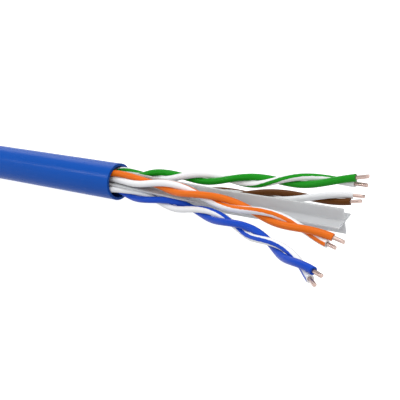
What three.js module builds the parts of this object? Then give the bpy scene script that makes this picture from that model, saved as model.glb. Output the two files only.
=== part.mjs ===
// The stripped end of a four-pair twisted network cable lying on a table, in millimetres.
//
// +X runs along the cable towards the stripped end, +Z is up, and the origin is the centre of
// the rear cut, where the sample was cut off the rest of the cable. The jacket ends at the
// mouth, and past it the four pairs fan out around the cross-shaped separator. The jacket and
// the tip of the blue pair rest on the table, and the stiff copper holds the other pairs up.
import * as THREE from 'three';

// ---- Driving dimensions ---------------------------------------------------------------------
const JACKET = { length: 40, radius: 3.2, wall: 0.48, sides: 36 };
const SEPARATOR = { reach: 42, finRadius: 2.06, web: 0.28, steps: 18, sag: 0.3, bow: 0.22 };
const WIRE = { radius: 0.55, sides: 8, boreRadius: 0.31, copperRadius: 0.285, coreSides: 6 };
const STRAND_OFFSET = 0.58;   // from a pair's middle line to the middle of each of its wires
const NUDGE = 0.01;           // between the two points that give the direction of a line

// The core: the separator's webs part it into four quadrants, one pair in each.
const CORE = { webAngle: 2, twistPerMm: 0.267, pairOffset: 1.11, squeeze: 0.175, relax: 14 };
const REAR_STATIONS = [0, 16, 32, 37, 40];

// Each pair's own route past the mouth: y and z of its middle line at evenly spaced stations
// from the mouth to `reach`, and the angle in degrees, from straight up towards -Y, at which its
// coloured wire lies at the mouth and at each of those stations. The coloured wire and the white
// one end `trim` before `reach`, and `tips` is the bare copper past each, which is also the
// length of one step of that wire's tubes.
const PAIRS = {
  orange: {
    quadrant: 0, reach: 42.5,
    y: [-1.6, -2.35, -3.1, -4.35, -5.45],
    z: [1.3, 1.05, 0.45, -0.1, -1.35],
    turn: [6, -104, -266, -415, -579, -753],
    trim: [0, 0.4], tips: [1.7, 1.65],
  },
  blue: {
    quadrant: 1, reach: 44.7,
    y: [-1.6, -2.45, -5.45, -9.4, -15.4],
    z: [-1.54, -1.69, -1.6, -1.85, -2.1],
    turn: [-104, -285, -486, -668, -874, -1107],
    trim: [0.15, 0.3], tips: [1.7, 2.1],
  },
  brown: {
    quadrant: 2, reach: 38.1,
    y: [2.55, 4.1, 6.05, 8.35, 10.9],
    z: [-1.15, -1.08, -0.8, -0.78, -0.6],
    turn: [-195, -356, -511, -661, -800, -945],
    trim: [0, -0.3], tips: [1.85, 1.85],
  },
  green: {
    quadrant: 3, reach: 43.3,
    y: [1.3, 1.85, 1.8, 1.5, 1.0],
    z: [1.8, 2.4, 3.1, 4.3, 5.55],
    turn: [-172, -379, -562, -735, -909, -1055],
    trim: [0, 0.5], tips: [1.9, 2.0],
  },
};

const COLOURS = {
  jacket: 0x1f57b6, separator: 0xbfc0c2, copper: 0xe9b9a4, white: 0xf0f0f0,
  green: 0x1f8323, orange: 0xf07a23, blue: 0x1f4fd0, brown: 0x5a3013,
};

// ---- Small helpers --------------------------------------------------------------------------
const degrees = (angle) => THREE.MathUtils.degToRad(angle);

/** The natural cubic spline through the points (xs[i], ys[i]), as a function of x. */
function smoothThrough(xs, ys) {
  const last = xs.length - 1;
  const bend = new Array(last + 1).fill(0);
  const carry = new Array(last + 1).fill(0);
  for (let i = 1; i < last; i++) {
    const behind = xs[i] - xs[i - 1];
    const around = xs[i + 1] - xs[i - 1];
    const pivot = (behind / around) * bend[i - 1] + 2;
    const kink = (ys[i + 1] - ys[i]) / (xs[i + 1] - xs[i]) - (ys[i] - ys[i - 1]) / behind;
    bend[i] = (behind / around - 1) / pivot;
    carry[i] = ((6 * kink) / around - (behind / around) * carry[i - 1]) / pivot;
  }
  for (let i = last - 1; i > 0; i--) bend[i] = bend[i] * bend[i + 1] + carry[i];
  return (x) => {
    const found = xs.findIndex((station) => station > x);
    const i = found < 1 ? last - 1 : found - 1;
    const span = xs[i + 1] - xs[i];
    const b = (x - xs[i]) / span;
    const a = 1 - b;
    const lift = ((a ** 3 - a) * bend[i] + (b ** 3 - b) * bend[i + 1]) * (span * span) / 6;
    return a * ys[i] + b * ys[i + 1] + lift;
  };
}

/** Stations spread evenly from the mouth to `reach` past it. */
const stationsPastMouth = (reach, count) =>
  Array.from({ length: count }, (_, i) => JACKET.length + (reach * (i + 1)) / count);

/** The vector at `angle` from straight up towards -Y, in the plane across the cable. */
const across = (angle) => new THREE.Vector3(0, -Math.sin(angle), Math.cos(angle));

/** The angle of the separator's first web at x. */
const webAngleAt = (x) => degrees(CORE.webAngle + CORE.twistPerMm * (x - JACKET.length));

// ---- A twisted pair -------------------------------------------------------------------------
/** One pair's middle line and twist; `quadrant` counts from the first web round towards -Y. */
class Pair {
  constructor({ quadrant, reach, y, z, turn, trim, tips }) {
    const ahead = stationsPastMouth(reach, y.length);
    const rear = REAR_STATIONS.map((x) => this.quadrantCentre(quadrant, x));
    const stations = [...REAR_STATIONS, ...ahead];
    this.quadrant = quadrant;
    this.ends = trim.map((short) => JACKET.length + reach - short);
    this.tips = tips;
    this.y = smoothThrough(stations, [...rear.map((point) => point.y), ...y]);
    this.z = smoothThrough(stations, [...rear.map((point) => point.z), ...z]);
    const lay = (turn[1] - turn[0]) / (reach / y.length);
    const rearTurn = turn[0] - lay * JACKET.length;
    this.turn = smoothThrough([0, JACKET.length, ...ahead], [rearTurn, ...turn]);
  }

  quadrantCentre(quadrant, x) {
    const angle = webAngleAt(x) + (quadrant + 0.5) * (Math.PI / 2);
    return across(angle).multiplyScalar(CORE.pairOffset * Math.SQRT2);
  }

  /** The middle of one wire at x: side is +1 for the coloured wire and -1 for the white one. */
  wireCentre(x, side, target) {
    const centre = new THREE.Vector3(x, this.y(x), this.z(x));
    const next = new THREE.Vector3(x + NUDGE, this.y(x + NUDGE), this.z(x + NUDGE));
    const along = next.sub(centre).normalize();
    const up = new THREE.Vector3(0, 0, 1).projectOnPlane(along).normalize();
    const beside = new THREE.Vector3().crossVectors(along, up);
    const turn = degrees(this.turn(x));
    const toWire = up.multiplyScalar(Math.cos(turn)).addScaledVector(beside, Math.sin(turn));
    centre.add(this.squeeze(x, turn));
    return target.copy(centre).addScaledVector(toWire, side * STRAND_OFFSET);
  }

  /** In the jacket, and less and less past it, a pair shifts as it turns to clear both webs. */
  squeeze(x, turn) {
    const web = webAngleAt(x) + this.quadrant * (Math.PI / 2);
    const free = THREE.MathUtils.smoothstep(x, JACKET.length, JACKET.length + CORE.relax);
    const shift = CORE.squeeze * (1 - free) * Math.cos(2 * (turn - web));
    return across(web).sub(across(web + Math.PI / 2)).multiplyScalar(shift);
  }
}

/** The middle line of one wire, with a straight piece of `tip` mm past the insulation's end. */
class WirePath extends THREE.Curve {
  constructor(pair, side, tip = 0) {
    super();
    this.pair = pair;
    this.side = side;
    this.tip = tip;
    this.endX = pair.ends[side > 0 ? 0 : 1];
    const end = pair.wireCentre(this.endX, side, new THREE.Vector3());
    const before = pair.wireCentre(this.endX - NUDGE, side, new THREE.Vector3());
    this.direction = end.sub(before).normalize();
  }

  /** How many steps of about the bare tip's length the path takes. */
  steps() {
    return Math.round(this.getLength() / this.pair.tips[this.side > 0 ? 0 : 1]);
  }

  getPoint(t, target = new THREE.Vector3()) {
    const tipRun = this.tip * this.direction.x;
    const run = t * (this.endX + tipRun);
    const beyond = Math.max(run - this.endX, 0);
    this.pair.wireCentre(run - beyond, this.side, target);
    return target.addScaledVector(this.direction, beyond / this.direction.x);
  }
}

// ---- Shapes ---------------------------------------------------------------------------------
function ringPoints(radius, sides) {
  return Array.from({ length: sides }, (_, i) => {
    const angle = (2 * Math.PI * (i + 0.5)) / sides;
    return new THREE.Vector2(radius * Math.cos(angle), radius * Math.sin(angle));
  });
}

/** Brings a slanting tube's first ring into the plane of the rear cut. */
function trimRear(geometry) {
  const position = geometry.attributes.position;
  for (let i = 0; i < position.count; i++) {
    if (position.getX(i) < WIRE.radius) position.setX(i, 0);
  }
  return geometry;
}

function insulationGeometry(pair, side) {
  const path = new WirePath(pair, side);
  const section = new THREE.Shape(ringPoints(WIRE.radius, WIRE.sides));
  section.holes.push(new THREE.Path(ringPoints(WIRE.boreRadius, WIRE.coreSides)));
  return trimRear(new THREE.ExtrudeGeometry(section, { steps: path.steps(), extrudePath: path }));
}

/** The core has one step more than its insulation, so their rings lie in the same planes. */
function copperGeometry(pair, side) {
  const covered = new WirePath(pair, side);
  const steps = covered.steps();
  const section = new THREE.Shape(ringPoints(WIRE.copperRadius, WIRE.coreSides));
  const path = new WirePath(pair, side, covered.getLength() / steps);
  return trimRear(new THREE.ExtrudeGeometry(section, { steps: steps + 1, extrudePath: path }));
}

function jacketGeometry() {
  const bore = JACKET.radius - JACKET.wall;
  const { radius, length } = JACKET;
  const profile = [[bore, 0], [radius, 0], [radius, length], [bore, length], [bore, 0]];
  const points = profile.map(([away, along]) => new THREE.Vector2(away, along));
  return new THREE.LatheGeometry(points, JACKET.sides).rotateZ(-Math.PI / 2);
}

/** Four equal fins that turn slowly with the core and sag a little past the mouth. */
function separatorGeometry() {
  const half = SEPARATOR.web / 2;
  const finCorners = [[SEPARATOR.finRadius, -half], [SEPARATOR.finRadius, half], [half, half]];
  const corners = [];
  for (let fin = 0; fin < 4; fin++) {
    const turn = (fin * Math.PI) / 2;
    for (const [along, side] of finCorners) {
      corners.push(new THREE.Vector2(along, side).rotateAround(new THREE.Vector2(), turn));
    }
  }
  const depth = JACKET.length + SEPARATOR.reach;
  const geometry = new THREE.ExtrudeGeometry(new THREE.Shape(corners), {
    depth, steps: SEPARATOR.steps, bevelEnabled: false,
  });
  const position = geometry.attributes.position;
  for (let i = 0; i < position.count; i++) {
    const x = position.getZ(i);
    const past = Math.max((x - JACKET.length) / SEPARATOR.reach, 0);
    const droop = SEPARATOR.sag * past + SEPARATOR.bow * Math.sin(Math.PI * past) ** 2;
    const first = across(webAngleAt(x)).multiplyScalar(position.getX(i));
    const point = first.addScaledVector(across(webAngleAt(x) + Math.PI / 2), position.getY(i));
    position.setXYZ(i, x, point.y, point.z - droop);
  }
  geometry.computeVertexNormals();
  return geometry;
}

// ---- The assembly ---------------------------------------------------------------------------
const cable = new THREE.Group();

function addPiece(name, geometry, color, roughness = 0.45, metalness = 0) {
  const material = new THREE.MeshStandardMaterial({ color, roughness, metalness });
  const mesh = new THREE.Mesh(geometry, material);
  mesh.name = name;
  cable.add(mesh);
}

addPiece('jacket', jacketGeometry(), COLOURS.jacket, 0.35);
addPiece('cross_separator', separatorGeometry(), COLOURS.separator, 0.4);

for (const [colour, route] of Object.entries(PAIRS)) {
  const pair = new Pair(route);
  const wires = [[colour, +1, COLOURS[colour]], [`white_${colour}`, -1, COLOURS.white]];
  for (const [name, side, paint] of wires) {
    addPiece(`insulation_${name}`, insulationGeometry(pair, side), paint);
    addPiece(`copper_${name}`, copperGeometry(pair, side), COLOURS.copper, 0.25, 1);
  }
}

export default cable;
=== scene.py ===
"""The looks of a stripped four-pair network cable end that lies on a white sweep.

The frame is the CAD model's: metres, +X along the cable towards the stripped end, +Z up, with the
origin at the centre of the rear cut. Shapes are worked out here in millimetres, by the same
formulas as the CAD solids, and each visible piece replaces the CAD node of its name.
"""

import math

import bpy
import numpy as np
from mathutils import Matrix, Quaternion, Vector


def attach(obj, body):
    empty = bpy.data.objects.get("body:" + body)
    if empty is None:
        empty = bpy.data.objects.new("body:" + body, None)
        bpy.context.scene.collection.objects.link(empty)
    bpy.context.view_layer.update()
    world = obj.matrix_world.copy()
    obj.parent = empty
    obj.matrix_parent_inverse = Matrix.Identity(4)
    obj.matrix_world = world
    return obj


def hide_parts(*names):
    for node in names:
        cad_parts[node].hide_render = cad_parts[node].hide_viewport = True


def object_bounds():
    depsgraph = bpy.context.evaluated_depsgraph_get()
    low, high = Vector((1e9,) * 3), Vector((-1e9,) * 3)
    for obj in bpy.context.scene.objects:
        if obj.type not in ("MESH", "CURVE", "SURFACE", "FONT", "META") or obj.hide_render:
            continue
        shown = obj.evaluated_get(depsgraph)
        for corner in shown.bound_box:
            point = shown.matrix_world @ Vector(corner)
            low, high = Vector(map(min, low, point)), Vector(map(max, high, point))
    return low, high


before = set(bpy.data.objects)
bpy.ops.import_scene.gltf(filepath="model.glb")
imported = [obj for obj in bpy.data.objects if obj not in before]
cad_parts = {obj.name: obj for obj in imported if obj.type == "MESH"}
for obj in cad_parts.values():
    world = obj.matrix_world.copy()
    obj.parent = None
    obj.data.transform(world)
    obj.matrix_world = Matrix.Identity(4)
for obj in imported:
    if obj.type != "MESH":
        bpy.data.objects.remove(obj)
cad_low, cad_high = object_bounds()

MM = 0.001                          # a millimetre, in metres

# ---- Driving dimensions, in millimetres and degrees --------------------------------------------
# `columns` is the number of points in a ring, and `step` the distance from ring to ring. The
# separator sags by `sag` at its far end and by `bow` more halfway. A wire's middle is `offset`
# from its pair's.
JACKET = {"length": 40.0, "radius": 3.2, "wall": 0.48, "columns": 96, "step": 0.5}
SEPARATOR = {
    "reach": 42, "fin": 2.06, "web": 0.28, "fillet": 0.2, "sag": 0.3, "bow": 0.22, "step": 0.5,
}
WIRE = {
    "radius": 0.55, "bore": 0.305, "copper": 0.285, "offset": 0.565,
    "columns": 32, "core_columns": 24,
}

# The core: the first web stands at `web_angle` at the mouth and turns by `twist` a millimetre. In
# the jacket each pair's middle is `pair_offset` from both webs and shifts by up to `squeeze`,
# which fades out over `relax` past the mouth. The rear stations pin the routes in the jacket.
CORE = {"web_angle": 2.0, "twist": 0.267, "pair_offset": 1.11, "squeeze": 0.175, "relax": 14.0}
REAR_STATIONS = np.array([0.0, 16.0, 32.0, 37.0, 40.0])
MOUTH = JACKET["length"]
SIDES = (1, -1)                     # a pair's coloured wire and its white one
STRIPE_HALF_ANGLE = 0.55            # radians: half the angle that a white wire's stripe covers
CORE_STEP = 2                       # a core and its bore have rings at every second station

# Edges cut by hand: how far the cut slants and tears, how deep its notch is, and the roughness
# of the torn face.
WIRE_CUT = {"slant": 0.035, "tear": 0.022, "notch": 0.13}
JACKET_CUT = {"slant": 0.05, "tear": 0.012, "notch": 0.0}
TORN_FACE = 0.012
SEEDS = {"wires": 11, "jacket": 5, "separator": 8}

# Each pair's route past the mouth: y and z of its middle line at evenly spaced stations up to
# `reach`, and the angle from straight up towards -Y at which its coloured wire lies at the mouth
# and at each station. The coloured wire and the white one end `trim` before `reach`, and `tips`
# is the bare copper past each. `stripe` is the angle of the white wire's stripe round it, in
# radians from the side that faces away from its mate, at the mouth and for each millimetre on.
PAIRS = {
    "orange": {
        "quadrant": 0, "reach": 42.5,
        "y": [-1.6, -2.35, -3.1, -4.35, -5.45],
        "z": [1.3, 1.05, 0.45, -0.1, -1.35],
        "turn": [6, -104, -266, -415, -579, -753],
        "trim": (0, 0.4), "tips": (1.7, 1.65),
        "stripe": (0.66, 0.399),
    },
    "blue": {
        "quadrant": 1, "reach": 44.7,
        "y": [-1.6, -2.45, -5.45, -9.4, -15.4],
        "z": [-1.54, -1.69, -1.6, -1.85, -2.1],
        "turn": [-104, -285, -486, -668, -874, -1107],
        "trim": (0.15, 0.3), "tips": (1.7, 2.1),
        "stripe": (-2.42, 0.425),
    },
    "brown": {
        "quadrant": 2, "reach": 38.1,
        "y": [2.55, 4.1, 6.05, 8.35, 10.9],
        "z": [-1.15, -1.08, -0.8, -0.78, -0.6],
        "turn": [-195, -356, -511, -661, -800, -945],
        "trim": (0, -0.3), "tips": (1.85, 1.85),
        "stripe": (-2.553, 0.186),
    },
    "green": {
        "quadrant": 3, "reach": 43.3,
        "y": [1.3, 1.85, 1.8, 1.5, 1.0],
        "z": [1.8, 2.4, 3.1, 4.3, 5.55],
        "turn": [-172, -379, -562, -735, -909, -1055],
        "trim": (0, 0.5), "tips": (1.9, 2.0),
        "stripe": (1.106, 0.174),
    },
}

COLOURS = {
    "jacket": (0.005, 0.073, 0.38),
    # painted shade: a darker blue for the jacket's cut face and bore
    "jacket_painted_shade": (0.005, 0.055, 0.29),
    "orange": (0.7, 0.14, 0.006),
    "blue": (0.003, 0.055, 0.45),
    "brown": (0.107, 0.032, 0.002),
    "green": (0.004, 0.24, 0.004),
    "white": (0.79, 0.79, 0.8),
    "separator": (0.52, 0.53, 0.54),
    "copper": (0.48, 0.36, 0.32),
    "floor": (0.4, 0.4, 0.4),
}

CAMERA = {
    "aim": (60.01, -4.12, 0.81), "distance": 110.0,
    "azimuth": 35.87, "elevation": 17.73, "roll": -2.71, "lens": 64.7,
}

# The stage, in metres and watts: the sweep's radius and height, from the flat floor up the wall,
# each soft box's place, size and power, and the room's light.
SWEEP = ((1.6, 0.0), (1.78, 0.03), (1.9, 0.1), (1.97, 0.2), (2.0, 0.32), (2.0, 0.6))
SWEEP_COLUMNS = 64
SOFT_BOXES = {
    "overhead": ((0.1, -0.1, 0.6), (0.6, 0.5), 2.2),
    "fill": ((0.2, -0.55, 0.25), (0.5, 0.4), 1.0),
    "back_rim": ((-0.38, 0.27, 0.38), (0.25, 0.25), 0.37),
    "front_rim": ((-0.37, -0.376, 0.3), (0.14, 0.06), 0.5),
}
ROOM = {"Color": (0.97, 0.98, 1, 1), "Strength": 0.6}


# ---- Curves ------------------------------------------------------------------------------------
def smooth_through(xs, ys):
    """The natural cubic spline through the points (xs[i], ys[i]), as a function of an array."""
    xs, ys = np.asarray(xs, float), np.asarray(ys, float)
    span = np.diff(xs)
    last = len(xs) - 1
    system, right = np.eye(last + 1), np.zeros(last + 1)
    for i in range(1, last):
        system[i, i - 1:i + 2] = span[i - 1], 2 * (span[i - 1] + span[i]), span[i]
        right[i] = 6 * ((ys[i + 1] - ys[i]) / span[i] - (ys[i] - ys[i - 1]) / span[i - 1])
    bend = np.linalg.solve(system, right)

    def value(x):
        i = np.clip(np.searchsorted(xs, x, side="right") - 1, 0, last - 1)
        b = (x - xs[i]) / span[i]
        a = 1 - b
        lift = ((a ** 3 - a) * bend[i] + (b ** 3 - b) * bend[i + 1]) * span[i] ** 2 / 6
        return a * ys[i] + b * ys[i + 1] + lift

    return value


def smoothstep(x, low, high):
    """0 below low, 1 above high and an S between them."""
    share = np.clip((x - low) / (high - low), 0, 1)
    return share * share * (3 - 2 * share)


def unit(vectors):
    """The vectors' directions, at length 1."""
    return vectors / np.linalg.norm(vectors, axis=-1, keepdims=True)


def across(angle):
    """The unit vectors at `angle` from straight up towards -Y, in the plane across the cable."""
    angle = np.asarray(angle, float)
    return np.stack([np.zeros_like(angle), -np.sin(angle), np.cos(angle)], axis=-1)


def web_angle(x):
    """The angle of the separator's first web at x."""
    return np.radians(CORE["web_angle"] + CORE["twist"] * (x - MOUTH))


def run_along(points):
    """The distance along a line of points, from its first."""
    return np.concatenate([[0], np.cumsum(np.linalg.norm(np.diff(points, axis=0), axis=1))])


# ---- The twisted pairs' routes -----------------------------------------------------------------
class Pair:
    """One pair's middle line and twist; `quadrant` counts from the first web round towards -Y."""

    def __init__(self, quadrant, reach, y, z, turn, trim, tips, stripe):
        ahead = MOUTH + reach * np.arange(1, len(y) + 1) / len(y)
        rear_angle = web_angle(REAR_STATIONS) + (quadrant + 0.5) * math.pi / 2
        rear = across(rear_angle) * CORE["pair_offset"] * math.sqrt(2)
        stations = np.concatenate([REAR_STATIONS, ahead])
        self.quadrant = quadrant
        self.ends = {side: MOUTH + reach - short for side, short in zip(SIDES, trim)}
        self.tips = dict(zip(SIDES, tips))
        self.stripe = stripe
        self.y = smooth_through(stations, np.concatenate([rear[:, 1], y]))
        self.z = smooth_through(stations, np.concatenate([rear[:, 2], z]))
        lay = (turn[1] - turn[0]) / (reach / len(y))
        self.turn = smooth_through([0, MOUTH, *ahead], [turn[0] - lay * MOUTH, *turn])

    def squeeze(self, x, turn):
        """In the jacket a pair shifts sideways as it turns, to stay clear of both webs."""
        web = web_angle(x) + self.quadrant * math.pi / 2
        free = smoothstep(x, MOUTH, MOUTH + CORE["relax"])
        shift = CORE["squeeze"] * (1 - free) * np.cos(2 * (turn - web))
        return shift[:, None] * (across(web) - across(web + math.pi / 2))

    def wire(self, x, side, tip=()):
        """A wire's path at each x, the direction along it, and the side where a stripe lies.

        `side` is +1 for the coloured wire and -1 for the white one, and `tip` lists distances
        straight on past the end of the path.
        """
        middle = np.stack([x, self.y(x), self.z(x)], axis=1)
        along = unit(np.gradient(middle, x, axis=0))
        up = unit(np.array([0, 0, 1.0]) - along * along[:, 2:])
        turn = np.radians(self.turn(x))
        outward = np.cos(turn)[:, None] * up + np.sin(turn)[:, None] * np.cross(along, up)
        middle += self.squeeze(x, turn)
        path = middle + side * WIRE["offset"] * outward
        along = unit(np.gradient(path, x, axis=0))
        away = side * outward
        away = unit(away - along * np.sum(away * along, axis=1, keepdims=True))
        run = run_along(middle)
        angle = self.stripe[0] + self.stripe[1] * (run - np.interp(MOUTH, x, run))
        striped = np.cos(angle)[:, None] * away + np.sin(angle)[:, None] * np.cross(along, away)
        straight_on = path[-1] + np.outer(np.asarray(tip, float), along[-1])
        extra = (len(tip), 1)
        return (
            np.concatenate([path, straight_on]),
            np.concatenate([along, np.tile(along[-1], extra)]),
            np.concatenate([striped, np.tile(striped[-1], extra)]),
        )


# ---- Mesh building -----------------------------------------------------------------------------
def skin(ring_count, columns, closed):
    """Quads between rings of `columns` points each; a closed skin joins the last to the first."""
    first = np.arange(columns)
    after = (first + 1) % columns
    faces = []
    for ring in range(ring_count if closed else ring_count - 1):
        here, there = ring * columns, (ring + 1) % ring_count * columns
        quads = np.stack([here + first, here + after, there + after, there + first], axis=1)
        faces.extend(quads.tolist())
    return faces


def end_caps(ring_count, columns):
    """The two faces that close the first ring and the last."""
    last = (ring_count - 1) * columns
    return [list(range(columns))[::-1], list(range(last, last + columns))]


def make_piece(name, points, faces, straight, material, sharp=35):
    """A mesh of points in millimetres, smooth-shaded but for edges sharper than `sharp` degrees.

    `straight` holds, for each point, where it lies when the piece is straightened out along X, in
    millimetres. The materials read it, so grain and stripes follow every twist and bend.
    """
    mesh = bpy.data.meshes.new(name)
    mesh.from_pydata((np.asarray(points) * MM).tolist(), [], faces)
    attribute = mesh.attributes.new("straight", "FLOAT_VECTOR", "POINT")
    attribute.data.foreach_set("vector", np.asarray(straight, np.float32).ravel())
    mesh.shade_smooth()
    mesh.set_sharp_from_angle(angle=math.radians(sharp))
    mesh.materials.append(material)
    piece = bpy.data.objects.new(f"{name}_detailed", mesh)
    bpy.context.scene.collection.objects.link(piece)
    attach(piece, "root")
    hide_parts(name)
    return piece


class Tube:
    """Rings placed round a path: each has a station, a radius and a push along the path."""

    def __init__(self, path, along, first, columns):
        self.path, self.along, self.first = path, along, first
        self.second = np.cross(along, first)
        self.run = run_along(path)
        self.angles = np.arange(columns) * 2 * math.pi / columns
        self.points, self.straight = [], []

    def ring(self, station, radius, push=0.0):
        """Adds a ring at a station; radius and push are numbers or one value for each column."""
        cos, sin = np.cos(self.angles)[:, None], np.sin(self.angles)[:, None]
        radius = np.broadcast_to(np.asarray(radius, float), self.angles.shape)[:, None]
        push = np.broadcast_to(np.asarray(push, float), self.angles.shape)[:, None]
        sideways = cos * self.first[station] + sin * self.second[station]
        self.points.append(self.path[station] + radius * sideways + push * self.along[station])
        self.straight.append(
            np.concatenate([self.run[station] + push, radius * cos, radius * sin], axis=1)
        )

    def at_rear_cut(self):
        """Brings the last ring that was added into the plane of the rear cut."""
        self.points[-1][:, 0] = 0

    def mesh(self, closed):
        """The points, faces and straightened-out places of all rings; an open tube gets caps."""
        rings, columns = len(self.points), len(self.angles)
        faces = skin(rings, columns, closed)
        if not closed:
            faces += end_caps(rings, columns)
        return np.concatenate(self.points), faces, np.concatenate(self.straight)


def ragged_edge(angles, draw, slant, tear, notch):
    """How far a hand-cut edge stands proud at each angle: a slant, small tears and one notch."""
    notch_width = 0.3
    waves = ((1, slant), (3, tear), (5, 0.6 * tear), (9, 0.45 * tear))
    *phases, notch_angle = draw.uniform(0, 2 * math.pi, len(waves) + 1)
    edge = sum(
        height * np.sin(count * angles + phase)
        for (count, height), phase in zip(waves, phases)
    )
    away = (angles - notch_angle + math.pi) % (2 * math.pi) - math.pi
    return edge - notch * np.exp(-((away / notch_width) ** 2))


def stations_to(end):
    """Stations of a wire's rings: coarse in the jacket, fine past it, finest at the cut end."""
    hidden_step, shown_step, cut_stations = 0.5, 0.25, 13
    clear, cut_end = MOUTH - 2, end - 1
    hidden = np.arange(0, clear, hidden_step)
    shown = np.arange(clear, cut_end, shown_step)
    return np.concatenate([hidden, shown, np.linspace(cut_end, end, cut_stations)])


def make_insulation(name, pair, side, material, draw):
    """A wire's insulation: a tube with a bore, cut square behind and ragged in front."""
    end = pair.ends[side]
    x = stations_to(end)
    path, along, first = pair.wire(x, side)
    tube = Tube(path, along, first, WIRE["columns"])
    radius, bore = WIRE["radius"], WIRE["bore"]
    edge = ragged_edge(tube.angles, draw, **WIRE_CUT)
    torn = 0.5                      # the length, back from the cut, over which the edge is uneven
    bevel = 0.025
    flare = 0.02                    # how much wider the cut end is, as a share of the radius
    last = len(x) - 1
    for station in range(last):
        near_cut = smoothstep(x[station], end - torn, end)
        tube.ring(station, radius * (1 + flare * near_cut), edge * near_cut)
        if station == 0:
            tube.at_rear_cut()
    tube.ring(last, radius * (1 + flare), edge - bevel)
    tube.ring(last, radius * (1 + flare) - bevel, edge)
    # The cut face is less uneven towards the bore.
    tear = draw.normal(0, TORN_FACE, len(tube.angles))
    tube.ring(last, (radius + bore) / 2, edge * 0.7 + tear)
    tube.ring(last, bore + bevel, edge * 0.5)
    tube.ring(last, bore, edge * 0.4 - bevel)
    for station in range((last - 1) // CORE_STEP * CORE_STEP, -1, -CORE_STEP):
        tube.ring(station, bore)
    tube.at_rear_cut()
    points, faces, straight = tube.mesh(closed=True)
    return make_piece(name, points, faces, straight, material), path * MM


def make_copper(name, pair, side, material, draw):
    """A wire's solid core, whose bare tip was snipped off a little askew."""
    x = stations_to(pair.ends[side])[::CORE_STEP]
    chamfer, slant = 0.045, 0.05
    crown, crown_height = 0.55, 0.4 * chamfer   # the end face's inner ring and how proud it is
    bare = pair.tips[side]
    tip = [0.25 * bare, 0.6 * bare, bare - 2 * chamfer, bare - chamfer, bare]
    path, along, first = pair.wire(x, side, tip)
    tube = Tube(path, along, first, WIRE["core_columns"])
    radius = WIRE["copper"]
    skew = slant * np.cos(tube.angles + draw.uniform(0, 2 * math.pi))
    last = len(path) - 1
    for station in range(last - 1):
        tube.ring(station, radius)
        if station == 0:
            tube.at_rear_cut()
    tube.ring(last - 1, radius - chamfer * 0.3, skew)
    tube.ring(last, radius - chamfer, skew)
    tube.ring(last, radius * crown, skew * crown + crown_height)
    points, faces, straight = tube.mesh(closed=False)
    return make_piece(name, points, faces, straight, material, sharp=50)


def make_jacket(material, draw):
    """The outer sleeve, faintly lobed by the pairs inside, with a knife-cut rim."""
    length, radius = JACKET["length"], JACKET["radius"]
    bore = radius - JACKET["wall"]
    x = np.arange(0, length + JACKET["step"] / 2, JACKET["step"])
    path = np.stack([x, np.zeros_like(x), np.zeros_like(x)], axis=1)
    along = np.tile([1.0, 0, 0], (len(x), 1))
    tube = Tube(path, along, np.tile([0, 0, 1.0], (len(x), 1)), JACKET["columns"])
    edge = ragged_edge(tube.angles, draw, **JACKET_CUT)
    torn_share = 0.3                # the share of the wall that tore instead of being cut
    bevel = 0.03
    bore_step = 4                   # the bore has a ring at every fourth station
    lobes, lobe_height = 4, 0.03
    ripple_length, ripple_height = 11, 0.006

    def outside(station):
        """The outer radius at each angle: highest over the middle of each pair."""
        lobe = 1 - np.cos(lobes * (tube.angles - web_angle(x[station])))
        ripple = 1 + np.sin(2 * math.pi * x[station] / ripple_length + 2 * tube.angles)
        return radius + lobe_height / 2 * lobe - ripple_height / 2 * ripple

    last = len(x) - 1
    tube.ring(0, outside(0) - bevel)
    tube.ring(0, outside(0), bevel)
    for station in range(1, last):
        tube.ring(station, outside(station))
    tube.ring(last, outside(last), edge - bevel)
    tube.ring(last, outside(last) - bevel, edge)
    lip = bore + JACKET["wall"] * torn_share
    tear = draw.normal(0, TORN_FACE, len(tube.angles))
    tube.ring(last, lip + bevel, edge)
    tube.ring(last, lip, edge + bevel + tear)
    tube.ring(last, bore + bevel, edge + bevel + tear)
    tube.ring(last, bore, edge)
    for station in range(last - bore_step, 0, -bore_step):
        tube.ring(station, bore)
    tube.ring(0, bore)
    points, faces, straight = tube.mesh(closed=True)
    piece = make_piece("jacket", points, faces, straight, material, sharp=30)
    return piece, path * MM


def fin_outline():
    """One fin's outline from the root of its right side, round its tip, to the next fin's root."""
    half, fin, fillet = SEPARATOR["web"] / 2, SEPARATOR["fin"], SEPARATOR["fillet"]
    root = half + fillet
    corner = 0.04
    out = np.linspace(root, fin - corner, 5)
    right = [(u, -half) for u in out]
    tip = [(fin, corner - half), (fin, half - corner)]
    left = [(u, half) for u in out[::-1]]
    bend = [math.radians(angle) for angle in (247.5, 225, 202.5)]
    inner_corner = [(root + fillet * math.cos(a), root + fillet * math.sin(a)) for a in bend]
    return np.array(right + tip + left + inner_corner)


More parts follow.
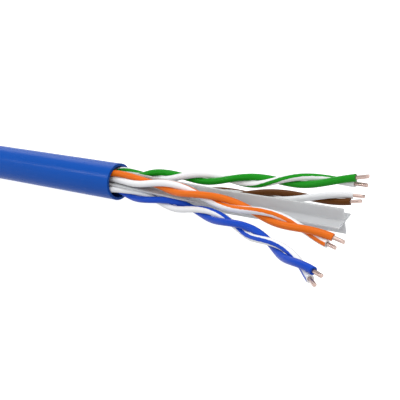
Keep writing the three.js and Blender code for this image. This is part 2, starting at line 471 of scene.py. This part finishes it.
def make_separator(material, draw):
    """The cross-shaped filler: four thin fins on a core with soft inner corners."""
    ripple, ripple_height = 2.6, 0.03   # millimetres along a fin for each radian, and at its tip
    fin = fin_outline()
    turned = []
    for quarter in range(4):
        cos, sin = math.cos(quarter * math.pi / 2), math.sin(quarter * math.pi / 2)
        turned.append(fin @ np.array([[cos, sin], [-sin, cos]]))
    outline = np.concatenate(turned)
    end = MOUTH + SEPARATOR["reach"]
    x = np.linspace(0, end, round(end / SEPARATOR["step"]) + 1)
    phase = draw.uniform(0, 2 * math.pi, len(turned))
    out = np.hypot(outline[:, 0], outline[:, 1]) / SEPARATOR["fin"]
    which = np.repeat(np.arange(len(turned)), len(fin))
    points, straight = [], []
    for station in x:
        past = max(0, (station - MOUTH) / SEPARATOR["reach"])
        droop = SEPARATOR["sag"] * past + SEPARATOR["bow"] * math.sin(math.pi * past) ** 2
        wave = ripple_height * past * out ** 2 * np.sin(station / ripple + phase[which])
        sideways = np.stack([-outline[:, 1], outline[:, 0]], axis=1)
        shape = outline + sideways / SEPARATOR["fin"] * wave[:, None]
        first, second = across(web_angle(station)), across(web_angle(station) + math.pi / 2)
        middle = np.array([station, 0, -droop])
        points.append(shape[:, :1] * first + shape[:, 1:] * second + middle)
        straight.append(np.insert(outline, 0, station, axis=1))
    faces = skin(len(x), len(outline), closed=False) + end_caps(len(x), len(outline))
    make_piece(
        "cross_separator", np.concatenate(points), faces, np.concatenate(straight),
        material,
    )


# ---- Materials ---------------------------------------------------------------------------------
class Finish:
    """A node material round one Principled shader, built by short calls.

    Patterns read the `straight` attribute, in millimetres: x runs along the piece.
    """

    def __init__(self, name, **settings):
        self.data = bpy.data.materials.new(name)
        self.data.use_nodes = True
        self.nodes, self.links = self.data.node_tree.nodes, self.data.node_tree.links
        self.shader = self.nodes["Principled BSDF"]
        self.fill(self.shader, **settings)
        self.place = self.nodes.new("ShaderNodeAttribute")
        self.place.attribute_name = "straight"

    def plug(self, socket, value):
        """Links a socket to another node's output, or sets it to a constant."""
        if isinstance(value, bpy.types.NodeSocket):
            self.links.new(value, socket)
        else:
            socket.default_value = value

    def fill(self, node, **sockets):
        """Plugs a node's inputs by name."""
        for name, value in sockets.items():
            self.plug(node.inputs[name.replace("_", " ")], value)

    def noise(self, stretch, detail=3.0, rough=0.55):
        """Noise whose grains are stretched by these amounts, in millimetres along x, y and z."""
        scale = self.nodes.new("ShaderNodeMapping")
        scale.inputs["Scale"].default_value = [1 / size for size in stretch]
        self.links.new(self.place.outputs["Vector"], scale.inputs["Vector"])
        texture = self.nodes.new("ShaderNodeTexNoise")
        self.fill(texture, Vector=scale.outputs["Vector"], Scale=1.0, Detail=detail, Roughness=rough)
        return texture.outputs["Fac"]

    def between(self, factor, low, high, start=0.3, stop=0.7, smooth=False):
        """A number that runs from low to high as factor runs from start to stop."""
        node = self.nodes.new("ShaderNodeMapRange")
        node.interpolation_type = "SMOOTHSTEP" if smooth else "LINEAR"
        self.fill(node, Value=factor, From_Min=start, From_Max=stop, To_Min=low, To_Max=high)
        return node.outputs["Result"]

    def calculate(self, operation, *values):
        """The result of one step of arithmetic."""
        node = self.nodes.new("ShaderNodeMath")
        node.operation = operation
        for socket, value in zip(node.inputs, values):
            self.plug(socket, value)
        return node.outputs["Value"]

    def mix(self, factor, first, second):
        """A colour between two colours."""
        node = self.nodes.new("ShaderNodeMix")
        node.data_type = "RGBA"
        sockets = [s for s in node.inputs if s.type == "RGBA"]
        self.links.new(factor, node.inputs["Factor"])
        for socket, value in zip(sockets, (first, second)):
            linked = isinstance(value, bpy.types.NodeSocket)
            self.plug(socket, value if linked else (*value, 1))
        return next(s for s in node.outputs if s.type == "RGBA")

    def parts(self):
        """The three coordinates of the straightened-out place."""
        node = self.nodes.new("ShaderNodeSeparateXYZ")
        self.links.new(self.place.outputs["Vector"], node.inputs["Vector"])
        return node.outputs["X"], node.outputs["Y"], node.outputs["Z"]

    def bump(self, height, depth, under=None):
        """A bump of that depth in millimetres, on top of another bump if one is given."""
        node = self.nodes.new("ShaderNodeBump")
        self.fill(node, Height=height, Distance=depth * MM)
        if under is not None:
            self.links.new(under, node.inputs["Normal"])
        return node.outputs["Normal"]

    def surface(self, **sockets):
        """The finished material, once these inputs of its shader are plugged."""
        self.fill(self.shader, **sockets)
        return self.data


def shade(colour, amount):
    """The colour made lighter or darker by a factor."""
    return tuple(min(1, part * amount) for part in colour)


def insulation_finish(name, colour, stripe=None):
    """Smooth extruded polyethylene, with a coloured stripe along a white wire."""
    finish = Finish(name, IOR=1.5, Specular_IOR_Level=0.14)
    mottle = finish.noise((6, 0.5, 0.5))
    base = finish.mix(mottle, shade(colour, 0.93), shade(colour, 1.07))
    if stripe is not None:
        _, toward, _ = finish.parts()
        waver = finish.between(finish.noise((0.5, 0.12, 0.12)), -0.02, 0.02)
        edge = math.cos(STRIPE_HALF_ANGLE) * WIRE["radius"]
        soft = 0.015
        inked = finish.calculate("ADD", toward, waver)
        mask = finish.between(inked, 0, 1, edge - soft, edge + soft, smooth=True)
        base = finish.mix(mask, base, finish.mix(mottle, shade(stripe, 0.92), shade(stripe, 1.08)))
    drawn = finish.noise((9, 0.05, 0.05), detail=2)
    pebble = finish.noise((0.12, 0.07, 0.07))
    normal = finish.bump(pebble, 0.004, finish.bump(drawn, 0.006))
    rough = finish.between(finish.noise((2.5, 0.3, 0.3)), 0.27, 0.4)
    return finish.surface(Base_Color=base, Roughness=rough, Normal=normal)


def jacket_finish():
    """Satin extruded PVC, with painted shade: the cut face and the bore get a darker blue than the
    skin.
    """
    finish = Finish("jacket_pvc", IOR=1.5, Specular_IOR_Level=0.07)
    colour = COLOURS["jacket"]
    mottle = finish.noise((14, 1.4, 1.4))
    skin_colour = finish.mix(mottle, shade(colour, 0.93), shade(colour, 1.07))
    _, y, z = finish.parts()
    squares = [finish.calculate("MULTIPLY", part, part) for part in (y, z)]
    out = finish.calculate("SQRT", finish.calculate("ADD", *squares))
    skin_depth, soft = 0.13, 0.03
    inner = JACKET["radius"] - skin_depth
    on_skin = finish.between(out, 0, 1, inner, inner + soft)
    # Painted shade: inside the outer skin, the cut face and the bore take the darker blue.
    base = finish.mix(on_skin, COLOURS["jacket_painted_shade"], skin_colour)
    drawn = finish.noise((30, 0.16, 0.16), detail=2)
    pebble = finish.noise((0.3, 0.22, 0.22))
    normal = finish.bump(pebble, 0.006, finish.bump(drawn, 0.012))
    rough = finish.between(finish.noise((5, 0.8, 0.8)), 0.2, 0.29)
    return finish.surface(Base_Color=base, Roughness=rough, Normal=normal)


def separator_finish():
    """Milky polyethylene film that lets a little light through."""
    finish = Finish(
        "separator_polyethylene", IOR=1.5, Alpha=0.88, Subsurface_Weight=0.8,
        Subsurface_Scale=MM, Subsurface_Radius=(1.4, 1.4, 1.5),
    )
    colour = COLOURS["separator"]
    cloud = finish.noise((5, 0.9, 0.9))
    base = finish.mix(cloud, shade(colour, 0.94), shade(colour, 1.05))
    drawn = finish.noise((25, 0.09, 0.09), detail=2)
    normal = finish.bump(drawn, 0.01)
    rough = finish.between(finish.noise((3, 0.4, 0.4)), 0.34, 0.5)
    return finish.surface(Base_Color=base, Roughness=rough, Normal=normal)


def copper_finish():
    """Bright drawn copper with fine die lines along it."""
    finish = Finish("drawn_copper", Metallic=1.0)
    colour = COLOURS["copper"]
    tarnish = finish.noise((1.2, 0.25, 0.25))
    base = finish.mix(tarnish, shade(colour, 0.93), shade(colour, 1.05))
    lines = finish.noise((9, 0.09, 0.09), detail=2)
    normal = finish.bump(lines, 0.0006)
    rough = finish.between(finish.noise((1.5, 0.2, 0.2)), 0.24, 0.32)
    return finish.surface(Base_Color=base, Roughness=rough, Normal=normal)


def floor_finish():
    """Matt white board, lit from within like a light table."""
    finish = Finish(
        "floor_board", Roughness=0.9, Emission_Strength=0.95, Emission_Color=(1, 1, 1, 1)
    )
    grain = finish.nodes.new("ShaderNodeTexNoise")
    finish.fill(grain, Scale=40.0, Detail=4.0)
    colour = COLOURS["floor"]
    base = finish.mix(grain.outputs["Fac"], shade(colour, 0.995), shade(colour, 1.005))
    return finish.surface(Base_Color=base)


# ---- Stage -------------------------------------------------------------------------------------
def make_camera():
    """The main view: azimuth is counted from -Y towards +X, and the camera looks at the aim."""
    azimuth, elevation = (math.radians(CAMERA[key]) for key in ("azimuth", "elevation"))
    level = math.cos(elevation)
    back = Vector((math.sin(azimuth) * level, -math.cos(azimuth) * level, math.sin(elevation)))
    data = bpy.data.cameras.new("camera")
    data.lens = CAMERA["lens"]
    data.clip_start = MM
    camera = bpy.data.objects.new("camera", data)
    bpy.context.scene.collection.objects.link(camera)
    camera.location = (Vector(CAMERA["aim"]) + back * CAMERA["distance"]) * MM
    camera.rotation_mode = "QUATERNION"
    roll = Quaternion((0, 0, 1), math.radians(CAMERA["roll"]))
    camera.rotation_quaternion = back.to_track_quat("Z", "Y") @ roll
    bpy.context.scene.camera = camera


def make_light(name, place, aim, size, power):
    """A rectangular soft box at a place, turned towards the aim."""
    data = bpy.data.lights.new(name, "AREA")
    data.shape = "RECTANGLE"
    data.size, data.size_y = size
    data.energy = power
    light = bpy.data.objects.new(name, data)
    bpy.context.scene.collection.objects.link(light)
    light.location = place
    light.rotation_mode = "QUATERNION"
    light.rotation_quaternion = (Vector(place) - Vector(aim)).to_track_quat("Z", "Y")


def make_stage():
    """A white sweep under and round the cable, soft boxes and a pale room."""
    scene = bpy.context.scene
    scene.view_settings.view_transform = "Standard"
    centre = (cad_low + cad_high) / 2
    angles = np.linspace(0, 2 * math.pi, SWEEP_COLUMNS, endpoint=False)
    points = [(r * math.cos(a), r * math.sin(a), z) for r, z in SWEEP for a in angles]
    faces = skin(len(SWEEP), SWEEP_COLUMNS, closed=False)
    flat_floor = list(range(SWEEP_COLUMNS))
    faces.append(flat_floor)
    mesh = bpy.data.meshes.new("floor")
    mesh.from_pydata(points, [], faces)
    mesh.materials.append(floor_finish())
    floor = bpy.data.objects.new("floor", mesh)
    floor.location = (centre.x, centre.y, cad_low.z)
    scene.collection.objects.link(floor)
    floor.visible_diffuse = False   # so it doesn't light the undersides
    world = bpy.data.worlds.new("room")
    world.use_nodes = True
    background = world.node_tree.nodes["Background"]
    for socket, value in ROOM.items():
        background.inputs[socket].default_value = value
    scene.world = world
    for name, (place, size, power) in SOFT_BOXES.items():
        make_light(name, place, centre, size, power)


# ---- Assembly ----------------------------------------------------------------------------------
def make_wires(copper):
    """Both wires of every pair: each wire's insulation and its copper core."""
    for count, (name, shape) in enumerate(PAIRS.items()):
        pair = Pair(**shape)
        colour = COLOURS[name]
        finishes = {
            name: insulation_finish(f"{name}_insulation", colour),
            f"white_{name}": insulation_finish(f"white_{name}_insulation", COLOURS["white"], colour),
        }
        for side, (wire, finish) in zip(SIDES, finishes.items()):
            draw = np.random.default_rng(SEEDS["wires"] + 2 * count + side)
            core = make_copper(f"copper_{wire}", pair, side, copper, draw)
            piece, path = make_insulation(
                f"insulation_{wire}", pair, side, finish, draw
            )


make_camera()
make_wires(copper_finish())
sleeve, sleeve_path = make_jacket(jacket_finish(), np.random.default_rng(SEEDS["jacket"]))
make_separator(separator_finish(), np.random.default_rng(SEEDS["separator"]))
make_stage()
